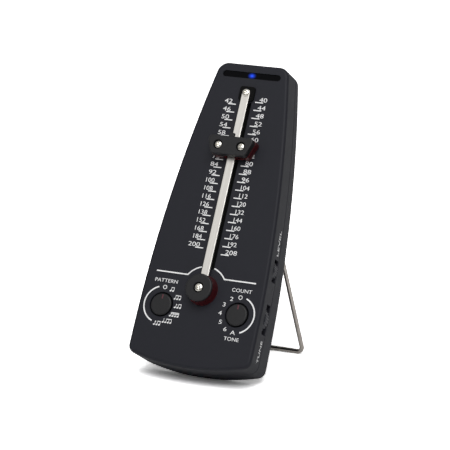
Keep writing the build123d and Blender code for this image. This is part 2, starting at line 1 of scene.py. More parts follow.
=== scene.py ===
"""Electronic metronome in a wedge-shaped case: its finishes, its printed markings and a plain studio."""

from __future__ import annotations

import json
import logging
import math
from dataclasses import dataclass, field
from enum import Enum
from typing import Any, Mapping, Sequence

import bmesh
import bpy
from bmesh.types import BMesh
from bpy.types import ID, Material, Node, NodeSocket, NodeTree, Object
from mathutils import Matrix, Vector

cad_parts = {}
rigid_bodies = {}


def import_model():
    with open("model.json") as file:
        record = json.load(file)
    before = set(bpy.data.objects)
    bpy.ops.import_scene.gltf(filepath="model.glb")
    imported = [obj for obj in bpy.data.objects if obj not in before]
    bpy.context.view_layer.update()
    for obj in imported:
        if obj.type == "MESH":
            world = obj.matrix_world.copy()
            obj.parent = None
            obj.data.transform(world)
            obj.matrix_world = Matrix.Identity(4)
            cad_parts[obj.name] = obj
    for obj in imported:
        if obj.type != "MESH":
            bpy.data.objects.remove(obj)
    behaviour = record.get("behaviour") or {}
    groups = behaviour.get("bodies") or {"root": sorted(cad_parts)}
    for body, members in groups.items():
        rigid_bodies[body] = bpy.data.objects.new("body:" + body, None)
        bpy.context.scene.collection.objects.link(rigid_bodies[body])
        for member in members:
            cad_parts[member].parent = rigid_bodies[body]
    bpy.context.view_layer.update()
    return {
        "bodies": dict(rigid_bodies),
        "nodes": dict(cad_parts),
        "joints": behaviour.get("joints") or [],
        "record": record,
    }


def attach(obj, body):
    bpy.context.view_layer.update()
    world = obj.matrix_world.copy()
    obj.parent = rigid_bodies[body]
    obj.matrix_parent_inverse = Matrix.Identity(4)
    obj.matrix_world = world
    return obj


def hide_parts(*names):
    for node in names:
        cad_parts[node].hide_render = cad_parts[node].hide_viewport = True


LOG = logging.getLogger("metronome")
MM = 0.001
# Sockets of a Mix node for colours, by number because others share their names.
FACTOR, FIRST, SECOND, MIXED = 0, 6, 7, 2
Point = tuple[float, float]
Place = tuple[float, float, float]
NoteGroups = tuple[tuple[int, int], ...]


def linear(hex_colour: str) -> tuple[float, float, float, float]:
    """Turn an sRGB hex colour into linear values, by the standard's own curve.

    Args:
        hex_colour: Six hex digits after a hash.

    Returns:
        Red, green, blue and a full alpha.
    """
    parts = [int(hex_colour[i : i + 2], 16) / 255 for i in (1, 3, 5)]
    values = [c / 12.92 if c <= 0.04045 else ((c + 0.055) / 1.055) ** 2.4 for c in parts]
    return (*values, 1.0)


def add_node(
    tree: NodeTree, kind: str, inputs: Mapping[str | int, Any] | None = None, **settings: Any
) -> Node:
    """Add a shader node with its settings and links.

    Args:
        tree: The node tree that gets the node.
        kind: The node's type, such as ShaderNodeBump.
        inputs: Values or output sockets for its inputs.
        settings: Values for the node's own properties.

    Returns:
        The new node.
    """
    node = tree.nodes.new(kind)
    for name, value in settings.items():
        setattr(node, name, value)
    for socket, value in (inputs or {}).items():
        if isinstance(value, NodeSocket):
            tree.links.new(value, node.inputs[socket])
        else:
            node.inputs[socket].default_value = value
    return node


def add_object(name: str, data: ID) -> Object:
    """Make an object and put it in the scene.

    Args:
        name: The object's name.
        data: Its mesh, lettering, lamp or lens.

    Returns:
        The new object.
    """
    made = bpy.data.objects.new(name, data)
    bpy.context.scene.collection.objects.link(made)
    return made


def per_metre(size_mm: float) -> float:
    """Texture scale that gives features of a size in millimetres."""
    return 1 / (size_mm * MM)


@dataclass(frozen=True)
class Finish:
    """A surface, by its common name, with what its looks are made of.

    Attributes:
        name: The material's name.
        colour: Its main colour, sRGB hex.
        roughness: Its middle roughness.
        second: The colour that the main one drifts to, sRGB hex, where it drifts.
        spread: How far the roughness goes to each side.
        relief_mm: Depth of its fine relief.
        relief_strength: How much of the relief shows.
    """

    name: str
    colour: str
    roughness: float
    second: str = ""
    spread: float = 0.0
    relief_mm: float = 0.0
    relief_strength: float = 0.0

    def start(self) -> tuple[Material, NodeTree, Node, NodeSocket]:
        """Make the material with its colour and roughness set.

        Returns:
            The material, its node tree, its surface shader and the place on the object.
        """
        material = bpy.data.materials.new(self.name)
        material.use_nodes = True
        tree = material.node_tree
        shader = tree.nodes["Principled BSDF"]
        shader.inputs["Base Color"].default_value = linear(self.colour)
        shader.inputs["Roughness"].default_value = self.roughness
        return material, tree, shader, add_node(tree, "ShaderNodeTexCoord").outputs["Object"]

    def weather(
        self, tree: NodeTree, shader: Node, drift: NodeSocket, height: NodeSocket | None = None
    ) -> None:
        """Let the colour and the roughness follow one noise, and raise the surface by another.

        Args:
            tree: The material's node tree.
            shader: Its surface shader.
            drift: The noise that colour and roughness follow, from 0 to 1.
            height: The noise that raises the surface, from 0 to 1.
        """
        if self.second:
            ends = {FIRST: linear(self.colour), SECOND: linear(self.second)}
            mix = add_node(tree, "ShaderNodeMix", {FACTOR: drift, **ends}, data_type="RGBA")
            tree.links.new(mix.outputs[MIXED], shader.inputs["Base Color"])
        if self.spread:
            limits = {"To Min": self.roughness - self.spread, "To Max": self.roughness + self.spread}
            level = add_node(tree, "ShaderNodeMapRange", {"Value": drift, **limits})
            tree.links.new(level.outputs["Result"], shader.inputs["Roughness"])
        if height is not None:
            depth = {"Distance": self.relief_mm * MM, "Strength": self.relief_strength}
            relief = add_node(tree, "ShaderNodeBump", {"Height": height, **depth})
            tree.links.new(relief.outputs["Normal"], shader.inputs["Normal"])


@dataclass(frozen=True)
class MouldedPlastic(Finish):
    """Plastic from a spark-eroded mould: satin, with a fine even grain and a faint cloudiness of colour.

    Attributes:
        grain_mm: Size of the grain, drawn coarser than a real mould's so that it shows.
        cloud_mm: Size of the clouds.
        specular: Level of its plain reflection.
    """

    spread: float = 0.04
    relief_mm: float = 0.012
    relief_strength: float = 0.6
    grain_mm: float = 0.22
    cloud_mm: float = 18.0
    specular: float = 0.5

    def build(self) -> Material:
        """Make the material.

        Returns:
            The material.
        """
        material, tree, shader, place = self.start()
        shader.inputs["Specular IOR Level"].default_value = self.specular
        fine = {"Vector": place, "Scale": per_metre(self.grain_mm), "Detail": 3.0}
        grain = add_node(tree, "ShaderNodeTexNoise", fine).outputs["Fac"]
        wide = {"Vector": place, "Scale": per_metre(self.cloud_mm), "Detail": 2.0}
        clouds = add_node(tree, "ShaderNodeTexNoise", wide).outputs["Fac"]
        self.weather(tree, shader, clouds, grain)
        return material


@dataclass(frozen=True)
class BrushedNickel(Finish):
    """Nickel plate on a bar that was brushed along its length: long bright streaks, spread glare across them.

    Attributes:
        along: Direction of the brushing.
        out: Direction that the brushed face looks to.
        streak_mm: Width of a streak, drawn wider than real brushing so that it shows.
        streak_length_mm: Length of a streak.
    """

    spread: float = 0.08
    relief_mm: float = 0.01
    relief_strength: float = 0.35
    along: Place = (0.0, 0.0, 1.0)
    out: Place = (0.0, -1.0, 0.0)
    streak_mm: float = 0.35
    streak_length_mm: float = 40.0

    def build(self) -> Material:
        """Make the material.

        Returns:
            The material.
        """
        material, tree, shader, place = self.start()
        shader.inputs["Metallic"].default_value = 1.0
        across = add_node(tree, "ShaderNodeSeparateXYZ", {0: place}).outputs["X"]
        up = add_node(tree, "ShaderNodeVectorMath", {0: place, 1: self.along}, operation="DOT_PRODUCT")
        front = add_node(tree, "ShaderNodeVectorMath", {0: place, 1: self.out}, operation="DOT_PRODUCT")
        squeeze = self.streak_mm / self.streak_length_mm
        drawn = add_node(tree, "ShaderNodeMath", {0: up.outputs["Value"], 1: squeeze}, operation="MULTIPLY")
        axes = {"X": across, "Y": drawn.outputs[0], "Z": front.outputs["Value"]}
        grid = add_node(tree, "ShaderNodeCombineXYZ", axes).outputs[0]
        lines = {"Vector": grid, "Scale": per_metre(self.streak_mm), "Detail": 4.0}
        streaks = add_node(tree, "ShaderNodeTexNoise", lines).outputs["Fac"]
        self.weather(tree, shader, streaks, streaks)
        return material


@dataclass(frozen=True)
class CoatedMetal(Finish):
    """Metal under plate, paint or film: soft flow marks and a little dulling.

    Attributes:
        mark_mm: Size of the dulled places.
        fine_mm: Size of the coat's own grain, drawn coarser than real so that it shows.
        metallic: 1 for bare metal or plate, less for paint or film over it.
    """

    spread: float = 0.06
    relief_mm: float = 0.003
    relief_strength: float = 0.4
    mark_mm: float = 2.5
    fine_mm: float = 0.15
    metallic: float = 1.0

    def build(self) -> Material:
        """Make the material.

        Returns:
            The material.
        """
        material, tree, shader, place = self.start()
        shader.inputs["Metallic"].default_value = self.metallic
        wide = {"Vector": place, "Scale": per_metre(self.mark_mm), "Detail": 5.0}
        marks = add_node(tree, "ShaderNodeTexNoise", wide).outputs["Fac"]
        small = {"Vector": place, "Scale": per_metre(self.fine_mm), "Detail": 2.0}
        fine = add_node(tree, "ShaderNodeTexNoise", small).outputs["Fac"]
        self.weather(tree, shader, marks, fine)
        return material


@dataclass(frozen=True)
class ScreenInk(Finish):
    """Screen-printed enamel ink: flat, opaque, drifting to its second colour where the ink lies thin.

    Attributes:
        mesh_mm: Size of the unevenness, drawn coarser than a real screen's so that it shows.
        thin_from: Level of the mesh's noise at which the ink starts to thin.
        thin_to: Level at which it is thinnest.
    """

    relief_mm: float = 0.01
    relief_strength: float = 0.3
    mesh_mm: float = 0.5
    thin_from: float = 0.55
    thin_to: float = 0.8

    def build(self) -> Material:
        """Make the material.

        Returns:
            The material.
        """
        material, tree, shader, place = self.start()
        weave = {"Vector": place, "Scale": per_metre(self.mesh_mm), "Detail": 3.0}
        mesh = add_node(tree, "ShaderNodeTexNoise", weave).outputs["Fac"]
        limits = {"From Min": self.thin_from, "From Max": self.thin_to}
        cover = add_node(tree, "ShaderNodeMapRange", {"Value": mesh, **limits}).outputs["Result"]
        self.weather(tree, shader, cover, mesh)
        return material


@dataclass(frozen=True)
class SmokedAcrylic(Finish):
    """Smoke-tinted acrylic, polished: near black, with a painted glow, an oval spot of light where the lamp
    behind would shine into it.

    Attributes:
        spot: Middle of the spot, in metres.
        out: Direction that the light comes through.
        spot_mm: Radius at which the light ends.
        core_mm: Radius of its bright middle.
        falloff: Power by which it fades between them.
        flatness: How much wider than high the spot is.
        glow: Colour of the light, sRGB hex.
        strength: How bright its middle is.
        wave_mm: Size of the polish's waves.
        specular: Level of its plain reflection.
    """

    spread: float = 0.02
    spot: Place = (0.0, 0.0, 0.0)
    out: Place = (0.0, -1.0, 0.0)
    spot_mm: float = 2.7
    core_mm: float = 0.2
    falloff: float = 2.0
    flatness: float = 1.4
    glow: str = "#2a55ff"
    strength: float = 1.2
    wave_mm: float = 4.0
    specular: float = 0.04

    def build(self) -> Material:
        """Make the material.

        Returns:
            The material.
        """
        material, tree, shader, place = self.start()
        shader.inputs["Specular IOR Level"].default_value = self.specular
        waves = add_node(tree, "ShaderNodeTexNoise", {"Vector": place, "Scale": per_metre(self.wave_mm)})
        self.weather(tree, shader, waves.outputs["Fac"])
        # Painted glow: the window itself emits an oval spot, in place of the lamp's light coming through it.
        away = add_node(tree, "ShaderNodeVectorMath", {0: place, 1: self.spot}, operation="SUBTRACT")
        beam = {0: away.outputs[0], 1: self.out}
        across = add_node(tree, "ShaderNodeVectorMath", beam, operation="CROSS_PRODUCT")
        oval = {0: across.outputs[0], 1: (self.flatness, 1.0, 1.0)}
        flat = add_node(tree, "ShaderNodeVectorMath", oval, operation="MULTIPLY")
        radius = add_node(tree, "ShaderNodeVectorMath", {0: flat.outputs[0]}, operation="LENGTH")
        limits = {"From Min": self.core_mm * MM, "From Max": self.spot_mm * MM, "To Min": 1.0, "To Max": 0.0}
        fade = add_node(tree, "ShaderNodeMapRange", {"Value": radius.outputs["Value"], **limits})
        bent = add_node(tree, "ShaderNodeMath", {0: fade.outputs[0], 1: self.falloff}, operation="POWER")
        level = add_node(tree, "ShaderNodeMath", {0: bent.outputs[0], 1: self.strength}, operation="MULTIPLY")
        shader.inputs["Emission Color"].default_value = linear(self.glow)
        tree.links.new(level.outputs[0], shader.inputs["Emission Strength"])
        return material


@dataclass(frozen=True)
class LampLens(Finish):
    """Clear epoxy of a small lamp, faintly hazed, which glows all through when it is lit.

    Attributes:
        glow: Colour of the light, sRGB hex.
        strength: How bright it is, 0 when it is off.
        haze_mm: Size of the haze.
    """

    spread: float = 0.05
    glow: str = "#000000"
    strength: float = 0.0
    haze_mm: float = 0.8

    def build(self) -> Material:
        """Make the material.

        Returns:
            The material.
        """
        material, tree, shader, place = self.start()
        shader.inputs["Emission Color"].default_value = linear(self.glow)
        shader.inputs["Emission Strength"].default_value = self.strength
        haze = add_node(tree, "ShaderNodeTexNoise", {"Vector": place, "Scale": per_metre(self.haze_mm)})
        self.weather(tree, shader, haze.outputs["Fac"])
        return material


class Placing(Enum):
    """Where a word stands against its place."""

    LEFT = "LEFT"
    CENTRE = "CENTER"
    RIGHT = "RIGHT"


@dataclass
class FaceFrame:
    """The front face's frame, read from the joints: x to the right, height up the face, level out of it.

    Attributes:
        frame: The loaded frame.
        dial_height: Height of the dials' axes up the face, in millimetres.
        dial_offset: Their distance from the middle, in millimetres.
        up: Direction up the face.
        out: Direction out of it.
        origin: The foot of its middle line, in metres.
    """

    frame: Mapping[str, Any]
    dial_height: float = 29.9
    dial_offset: float = field(init=False)
    up: Vector = field(init=False)
    out: Vector = field(init=False)
    origin: Vector = field(init=False)

    def __post_init__(self) -> None:
        """Take the directions from the weight's slide and the dials' axes."""
        joints = {joint["name"]: joint for joint in self.frame["joints"]}
        self.up = Vector(joints["weight_slide"]["axis"]).normalized()
        self.out = Vector(joints["beats_turn"]["axis"]).normalized()
        left = Vector(joints["rhythm_turn"]["pos_m"])
        right = Vector(joints["beats_turn"]["pos_m"])
        self.dial_offset = (right - left).length / 2 / MM
        self.origin = (left + right) / 2 - self.up * self.dial_height * MM

    def point(self, x: float, height: float, level: float = 0.0) -> Vector:
        """A place on the face, in metres."""
        return self.origin + (Vector((x, 0, 0)) + self.up * height + self.out * level) * MM

    def matrix(self, x: float = 0.0, height: float = 0.0, level: float = 0.0) -> Matrix:
        """The frame's axes at a place, as a matrix from millimetres to metres."""
        axes = Matrix((Vector((1, 0, 0)), self.up, self.out)).transposed() * MM
        return Matrix.Translation(self.point(x, height, level)) @ axes.to_4x4()


def around(centre: Point, angle: float, radius: float) -> Point:
    """A place round a centre. Its angle is in degrees, clockwise from up."""
    turn = math.radians(angle)
    return centre[0] + radius * math.sin(turn), centre[1] + radius * math.cos(turn)


@dataclass
class InkSheet:
    """Flat shapes gathered on one plane, then turned into one thin piece. Sizes in millimetres.

    Attributes:
        ink_height: How far the shapes stand above the plane.
        sink: How far they reach below it.
        capital_share: Height of a capital, as a share of the lettering's size.
        letter_half: Half the lettering's thickness, unscaled.
        arc_step: Degrees between the points of an arc.
        least_steps: Fewest steps in an arc.
        shapes: The gathered shapes.
    """

    ink_height: float = 0.03
    sink: float = 0.02
    capital_share: float = 0.729
    letter_half: float = 0.01
    arc_step: float = 4.0
    least_steps: int = 6
    shapes: BMesh = field(default_factory=bmesh.new)

    def prism(self, outline: Sequence[Point]) -> None:
        """Add a filled shape.

        Args:
            outline: Its convex outline, anticlockwise.
        """
        top = [self.shapes.verts.new((x, y, self.ink_height)) for x, y in outline]
        low = [self.shapes.verts.new((x, y, -self.sink)) for x, y in outline]
        self.shapes.faces.new(top)
        self.shapes.faces.new(low[::-1])
        for i in range(len(outline)):
            self.shapes.faces.new((top[i], top[i - 1], low[i - 1], low[i]))

    def band(self, points: Sequence[Point], width: float) -> None:
        """Add a line of even width, with mitred bends and square ends.

        Args:
            points: The points that it goes through.
            width: Its width.
        """
        places = [Vector(p) for p in points]
        rows = []
        for i, place in enumerate(places):
            before = (place - places[i - 1]).normalized() if i else None
            after = (places[i + 1] - place).normalized() if i + 1 < len(places) else None
            along = ((before or after) + (after or before)).normalized()
            stretch = 1 / along.dot(after or before)
            side = Vector((-along.y, along.x)) * (width / 2 * stretch)
            corners = ((place + side, self.ink_height), (place - side, self.ink_height))
            corners += ((place - side, -self.sink), (place + side, -self.sink))
            rows.append([self.shapes.verts.new((p.x, p.y, z)) for p, z in corners])
        for near, far in zip(rows, rows[1:]):
            for i in range(len(near)):
                self.shapes.faces.new((near[i - 1], near[i], far[i], far[i - 1]))
        self.shapes.faces.new(rows[0][::-1])
        self.shapes.faces.new(rows[-1])

    def arc(self, centre: Point, radius: float, start: float, end: float, width: float) -> None:
        """Add part of a ring. Angles are in degrees, clockwise from up.

        Args:
            centre: The ring's centre.
            radius: Its radius, at the middle of the line.
            start: Angle of the first end.
            end: Angle of the other end.
            width: Width of the line.
        """
        steps = max(self.least_steps, int(abs(end - start) / self.arc_step))
        angles = [start + (end - start) * i / steps for i in range(steps + 1)]
        self.band([around(centre, angle, radius) for angle in angles], width)

    def oval(self, centre: Point, radii: Point, tilt: float, sides: int = 20) -> None:
        """Add a filled oval.

        Args:
            centre: Its centre.
            radii: Its half length and half height.
            tilt: Its tilt in degrees, anticlockwise.
            sides: How many sides stand for it.
        """
        turn = Matrix.Rotation(math.radians(tilt), 2)
        outline = []
        for i in range(sides):
            t = 2 * math.pi * i / sides
            spot = turn @ Vector((radii[0] * math.cos(t), radii[1] * math.sin(t)))
            outline.append((centre[0] + spot.x, centre[1] + spot.y))
        self.prism(outline)

    def words(
        self, text: str, place: Point, height: float, stretch: float, placing: Placing = Placing.CENTRE
    ) -> None:
        """Add figures or letters whose lower edge stands at a place.

        Args:
            text: What is printed.
            place: Middle, left or right end of its lower edge.
            height: Height of its capitals.
            stretch: How much wider than plain lettering it is.
            placing: Which of these it is.
        """
        letters = bpy.data.curves.new("letters", "FONT")
        letters.body = text
        letters.align_x = placing.value
        letters.extrude = self.letter_half
        letters.resolution_u = 4
        holder = add_object("letters", letters)
        bpy.context.view_layer.update()
        mesh = bpy.data.meshes.new_from_object(holder.evaluated_get(bpy.context.evaluated_depsgraph_get()))
        size = height / self.capital_share
        thick = (self.ink_height + self.sink) / (2 * self.letter_half)
        middle = (self.ink_height - self.sink) / 2
        scale = Matrix.Diagonal((size * stretch, size, thick, 1))
        mesh.transform(Matrix.Translation((*place, middle)) @ scale)
        self.shapes.from_mesh(mesh)
        bpy.data.objects.remove(holder)
        bpy.data.curves.remove(letters)
        bpy.data.meshes.remove(mesh)

    def piece(self, name: str, place: Matrix, material: Material, body: str) -> Object:
        """Turn the shapes into a piece that rides on a body.

        Args:
            name: The piece's name.
            place: From the sheet's millimetres to the object's metres.
            material: Its finish.
            body: The body that carries it.

        Returns:
            The new object.
        """
        bmesh.ops.remove_doubles(self.shapes, verts=self.shapes.verts, dist=1e-5)
        bmesh.ops.recalc_face_normals(self.shapes, faces=self.shapes.faces)
        mesh = bpy.data.meshes.new(name)
        self.shapes.to_mesh(mesh)
        self.shapes.free()
        mesh.transform(place)
        mesh.materials.append(material)
        made = add_object(name, mesh)
        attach(made, body)
        LOG.info("%s: %d faces on %s", name, len(mesh.polygons), body)
        return made


@dataclass
class TempoScale:
    """Columns of figures and ticks beside the bar, the left one half a step lower. Sizes in millimetres."""

    top: float = 138.7
    spacing: float = 4.2
    tick_inner: float = 5.04
    tick_length: float = 4.4
    tick_width: float = 0.52
    figure_height: float = 2.35
    figure_stretch: float = 1.36
    narrow_stretch: float = 1.12
    figure_inner: float = 7.1
    figure_gap: float = 0.42
    right_tempos: tuple[int, ...] = (
        40, 44, 48, 52, 56, 60, 66, 72, 80, 88, 96, 104, 112, 120, 132, 144, 160, 176, 192, 208,
    )
    left_tempos: tuple[int, ...] = (
        42, 46, 50, 54, 58, 63, 69, 76, 84, 92, 100, 108, 116, 126, 138, 152, 168, 184, 200,
    )

    def build(self, face: FaceFrame, ink: Material) -> None:
        """Print both columns.

        Args:
            face: The face's frame.
            ink: The ink.
        """
        sheet = InkSheet()
        for i, tempo in enumerate(self.right_tempos):
            self.mark(sheet, 1, self.top - i * self.spacing, tempo)
        for i, tempo in enumerate(self.left_tempos):
            self.mark(sheet, -1, self.top - (i + 1 / 2) * self.spacing, tempo)
        sheet.piece("tempo_scale_print", face.matrix(), ink, "case")

    def mark(self, sheet: InkSheet, side: int, height: float, tempo: int) -> None:
        """Print one tick with its figures above its outer half, set tighter where they start with a 1.

        Args:
            sheet: The sheet that it goes on.
            side: 1 for the right column, -1 for the left.
            height: The tick's height up the face.
            tempo: The figures.
        """
        outer = self.tick_inner + self.tick_length
        sheet.band([(side * self.tick_inner, height), (side * outer, height)], self.tick_width)
        placing = Placing.LEFT if side > 0 else Placing.RIGHT
        place = (side * self.figure_inner, height + self.figure_gap)
        figures = str(tempo)
        stretch = self.narrow_stretch if figures.startswith("1") else self.figure_stretch
        sheet.words(figures, place, self.figure_height, stretch, placing)


@dataclass
class PanelPrint:
    """The line that bows over the hub, and the marks round both dials. Sizes in millimetres.

    Angles are in degrees, clockwise from up. A group of notes is how many notes and how many beams it has.
    """

    line_height: float = 46.7
    line_end: float = 27.1
    line_width: float = 0.65
    hub_height: float = 39.8
    bow_radius: float = 12.1
    bow_steps: int = 12
    slot_half: float = 3.45
    figure_height: float = 2.15
    figure_stretch: float = 1.35
    mark_radius: float = 8.9
    arc_radius: float = 9.3
    arc_width: float = 0.7
    left_arc: Point = (-20, -160)
    right_arc: Point = (21, 158)
    title_height: float = 41.3
    title_size: float = 1.9
    title_stretch: float = 1.15
    foot_height: float = 16.7
    zero_radius: float = 0.92
    zero_width: float = 0.34
    note_radius: float = 9.5
    note_step: float = 1.4
    note_head: Point = (0.55, 0.4)
    head_tilt: float = 20
    head_shift: float = 0.385
    stem_length: float = 1.9
    stem_width: float = 0.22
    beam_width: float = 0.4
    beam_drop: float = 0.2
    beam_spacing: float = 0.6
    beam_reach: float = 0.1
    flag_reach: float = 0.5
    rhythm_angles: tuple[float, ...] = (28, 61, 88, 116, 145, 178)
    beats_angles: tuple[float, ...] = (-30, -60, -90, -120, -150, 180)
    beats_marks: tuple[str, ...] = ("2", "3", "4", "5", "6", "A")
    rhythm_marks: tuple[NoteGroups, ...] = (
        ((2, 1),), ((3, 1),), ((1, 1), (2, 1)), ((4, 2),), ((1, 0), (3, 1)), ((1, 1), (2, 1)),
    )

    def build(self, face: FaceFrame, ink: Material) -> None:
        """Print the line and the marks.

        Args:
            face: The face's frame.
            ink: The ink.
        """
        sheet = InkSheet()
        self.bowed_line(sheet)
        left = (-face.dial_offset, face.dial_height)
        right = (face.dial_offset, face.dial_height)
        sheet.arc(left, self.arc_radius, *self.left_arc, self.arc_width)
        sheet.arc(right, self.arc_radius, *self.right_arc, self.arc_width)
        for centre, title in ((left, "PATTERN"), (right, "COUNT")):
            sheet.arc(around(centre, 0, self.mark_radius), self.zero_radius, 0, 360, self.zero_width)
            sheet.words(title, (centre[0], self.title_height), self.title_size, self.title_stretch)
        sheet.words("TONE", (right[0], self.foot_height), self.title_size, self.title_stretch)
        for angle, mark in zip(self.beats_angles, self.beats_marks):
            x, y = around(right, angle, self.mark_radius)
            sheet.words(mark, (x, y - self.figure_height / 2), self.figure_height, self.figure_stretch)
        for angle, groups in zip(self.rhythm_angles, self.rhythm_marks):
            self.notes(sheet, around(left, angle, self.note_radius), groups)
        sheet.piece("panel_print", face.matrix(), ink, "case")

    def bowed_line(self, sheet: InkSheet) -> None:
        """Print the line across the face, bowed over the hub and broken by the bar's slot.

        Args:
            sheet: The sheet that it goes on.
        """
        foot = math.acos((self.line_height - self.hub_height) / self.bow_radius)
        crown = math.asin(self.slot_half / self.bow_radius)
        for side in (-1, 1):
            points = [(side * self.line_end, self.line_height)]
            for i in range(self.bow_steps + 1):
                turn = math.degrees(foot + (crown - foot) * i / self.bow_steps)
                points.append(around((0.0, self.hub_height), side * turn, self.bow_radius))
            sheet.band(points, self.line_width)

    def notes(self, sheet: InkSheet, place: Point, groups: NoteGroups) -> None:
        """Print notes in a row, in groups that a beam joins. A beam on one note is its flag.

        Args:
            sheet: The sheet that they go on.
            place: The row's middle.
            groups: The groups, from left to right.
        """
        low = place[1] - self.stem_length / 2
        first = place[0] - (sum(heads for heads, _ in groups) - 1) / 2 * self.note_step
        for heads, beams in groups:
            xs = [first + i * self.note_step for i in range(heads)]
            first += heads * self.note_step
            for x in xs:
                sheet.oval((x - self.head_shift, low), self.note_head, self.head_tilt)
                sheet.band([(x, low), (x, low + self.stem_length)], self.stem_width)
            reach = self.beam_reach if heads > 1 else self.flag_reach
            for i in range(beams):
                y = low + self.stem_length - self.beam_drop - i * self.beam_spacing
                ends = [(xs[0] - self.beam_reach, y), (xs[-1] + reach, y - (reach - self.beam_reach))]
                sheet.band(ends, self.beam_width)


@dataclass
class SidePrint:
    """Words beside the thumbwheels on the right wall, reading upwards. Sizes in millimetres.

    The wall is straight up to a height, and curves inwards above it. A word has its height and its stretch.
    """

    half_width: float = 33.35
    side_straight: float = 15.6
    side_radius: float = 705.0
    level: float = -8.8
    size: float = 2.0
    words: tuple[tuple[str, float, float], ...] = (("LEVEL", 69.9, 1.9), ("TUNE", 14.7, 1.6))

    def build(self, face: FaceFrame, ink: Material) -> None:
        """Print the words flat, then lay them on the wall.

        Args:
            face: The face's frame.
            ink: The ink.
        """
        sheet = InkSheet()
        for text, height, stretch in self.words:
            sheet.words(text, (height, self.level), self.size, stretch)
        for corner in sheet.shapes.verts:
            height, level, proud = corner.co
            rise = max(0.0, height - self.side_straight)
            wall = self.half_width - self.side_radius + math.sqrt(self.side_radius**2 - rise**2)
            corner.co = (wall + proud, height, level)
        sheet.piece("side_print", face.matrix(), ink, "case")


@dataclass
class BarRest:
    """A thin black sheet over the raised rest of the bar's top end, which makes it darker than the case.
    Sizes in millimetres.
    """

    height: float = 142.5
    width: float = 8.2
    length: float = 7.4
    corner: float = 1.3
    corner_steps: int = 6
    top: float = 1.16

    def build(self, face: FaceFrame, black_sheet: Material) -> None:
        """Make the sheet.

        Args:
            face: The face's frame.
            black_sheet: Its finish.
        """
        sheet = InkSheet(ink_height=self.top)
        outline = []
        for quarter, (side, end) in enumerate(((1, 1), (-1, 1), (-1, -1), (1, -1))):
            x, y = side * (self.width / 2 - self.corner), end * (self.length / 2 - self.corner)
            for i in range(self.corner_steps + 1):
                turn = math.pi / 2 * (quarter + i / self.corner_steps)
                outline.append((x + self.corner * math.cos(turn), y + self.corner * math.sin(turn)))
        sheet.prism(outline)
        made = sheet.piece("bar_rest_dark_top", face.matrix(0, self.height), black_sheet, "case")


@dataclass
class ScrewWashers:
    """Painted shade: thin black rings round sunk screws, standing for the shadow in the gap round each head,
    each at its x, height and level. Sizes in millimetres.
    """

    name: str
    body: str
    places: Sequence[Place]
    radius: float = 2.1
    width: float = 0.55
    thickness: float = 0.1

    def build(self, face: FaceFrame, black_sheet: Material) -> None:
        """Make the rings of painted shade.

        Args:
            face: The face's frame.
            black_sheet: Their finish.
        """
        sheet = InkSheet(ink_height=self.thickness)
        for x, height, _ in self.places:
            sheet.arc((x, height), self.radius, 0, 360, self.width)
        made = sheet.piece(self.name, face.matrix(level=self.places[0][2]), black_sheet, self.body)


